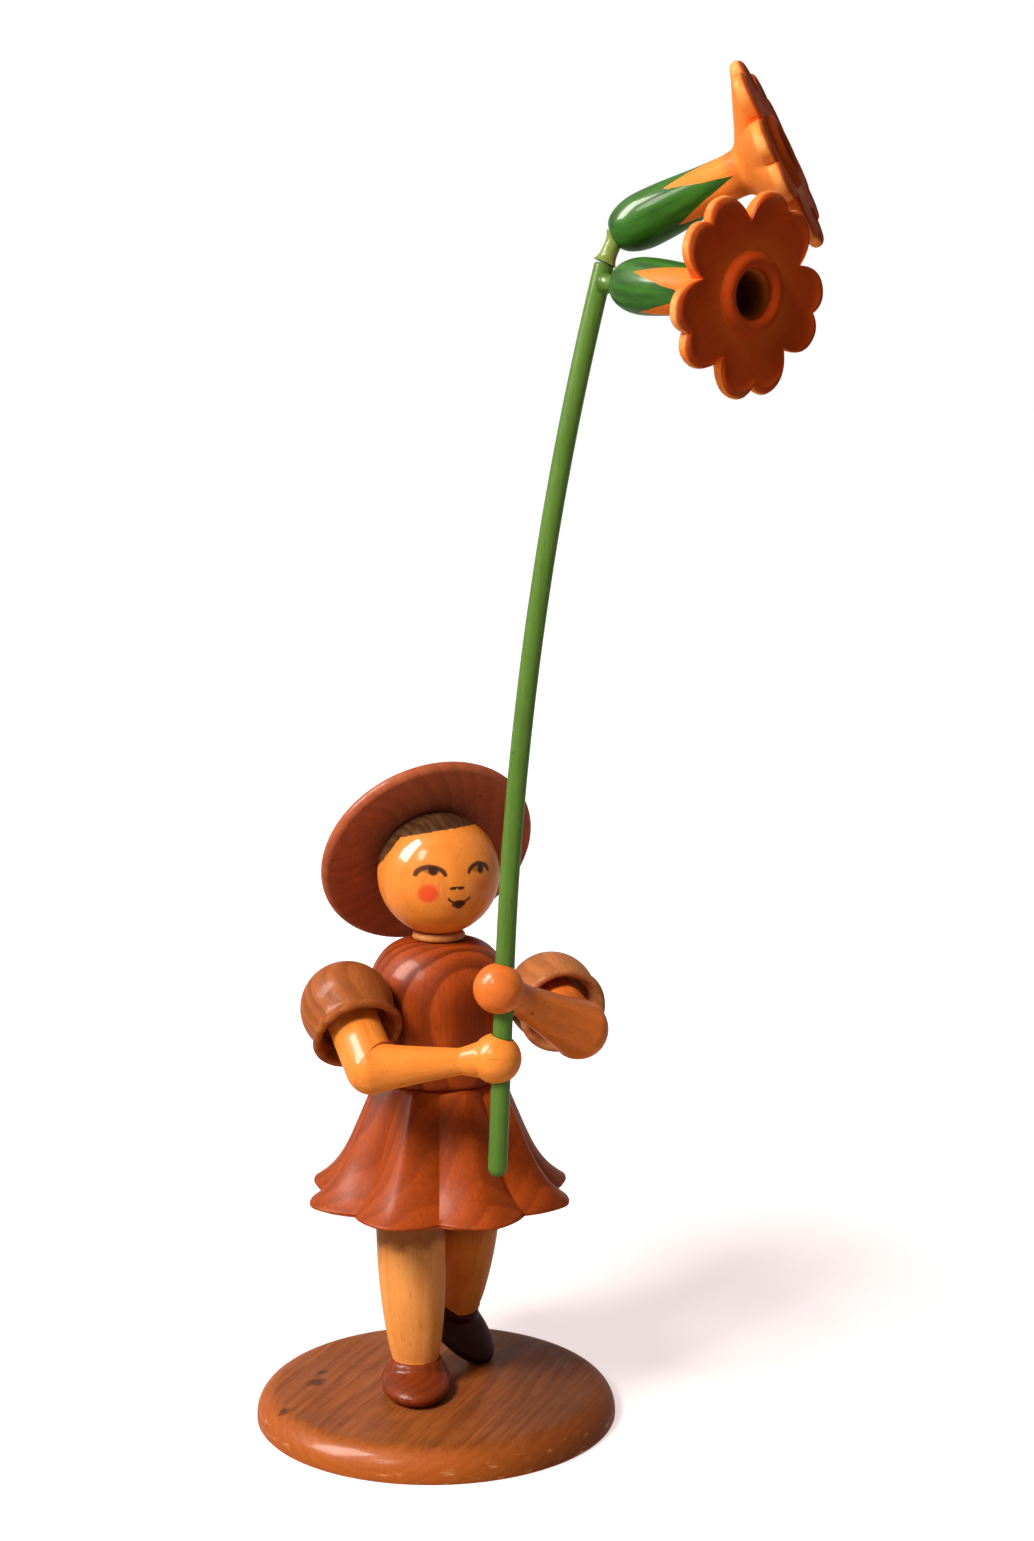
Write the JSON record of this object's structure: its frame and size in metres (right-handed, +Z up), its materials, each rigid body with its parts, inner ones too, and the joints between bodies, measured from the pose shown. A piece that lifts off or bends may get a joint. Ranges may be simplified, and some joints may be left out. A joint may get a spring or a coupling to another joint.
{
  "type": "wooden flower child figurine",
  "caption": "Turned wooden girl in a pleated skirt and sun hat on a round base, holding a tall bent flower stem with trumpet blossoms; stands as a table ornament.",
  "frame": {"origin": "middle of the flat underside of the round base", "axes": "+Z up, the girl faces -Y, +X is the girl's left"},
  "size_m": [0.0452, 0.0572, 0.1285],
  "materials": {
    "base_wood": "brown stained wood with clear lacquer, grain showing",
    "shoe_wood": "reddish brown stain, satin lacquer",
    "skin_wood": "honey stained wood with clear satin lacquer",
    "dress_wood": "red-brown stained wood with glossy lacquer",
    "sleeve_wood": "mid-brown stained wood with satin lacquer",
    "hat_wood": "dark red-brown stained wood with satin lacquer",
    "plain_wood": "plain pale wood",
    "stem_green": "green paint, satin",
    "peg_green": "thin yellow-green paint, worn",
    "blossom_orange": "orange stain with green painted sepals on the calyx"
  },
  "bodies": {
    "figure": {"base_disc": "base_wood", "right_shoe": "shoe_wood", "right_foot_dowel": "plain_wood", "right_leg": "skin_wood", "left_shoe": "shoe_wood", "left_foot_dowel": "plain_wood", "left_leg": "skin_wood", "skirt": "dress_wood", "waist_dowel": "plain_wood", "bodice": "dress_wood", "neck_collar": "plain_wood", "neck_dowel": "plain_wood", "right_sleeve": "sleeve_wood", "right_shoulder_dowel": "plain_wood", "right_upper_arm": "skin_wood", "right_forearm": "skin_wood", "left_sleeve": "sleeve_wood", "left_shoulder_dowel": "plain_wood", "left_upper_arm": "skin_wood", "left_forearm": "skin_wood"},
    "head": {"head": "skin_wood", "hat": "hat_wood"},
    "flower": {"flower_stem": "stem_green", "upper_flower_peg": "peg_green", "upper_blossom": "blossom_orange", "lower_flower_peg": "peg_green", "lower_blossom": "blossom_orange"}
  },
  "joints": [
    {"name": "head_turn", "type": "hinge", "parent": "figure", "child": "head", "pos_m": [0.0004, -0.00015, 0.049], "axis": [0, 0, 1], "range_deg": [-60, 60]},
    {"name": "flower_lift", "type": "slide", "parent": "figure", "child": "flower", "axis": [0.034, -0.0137, 0.9993], "range_m": [0, 0.024]}
  ]
}
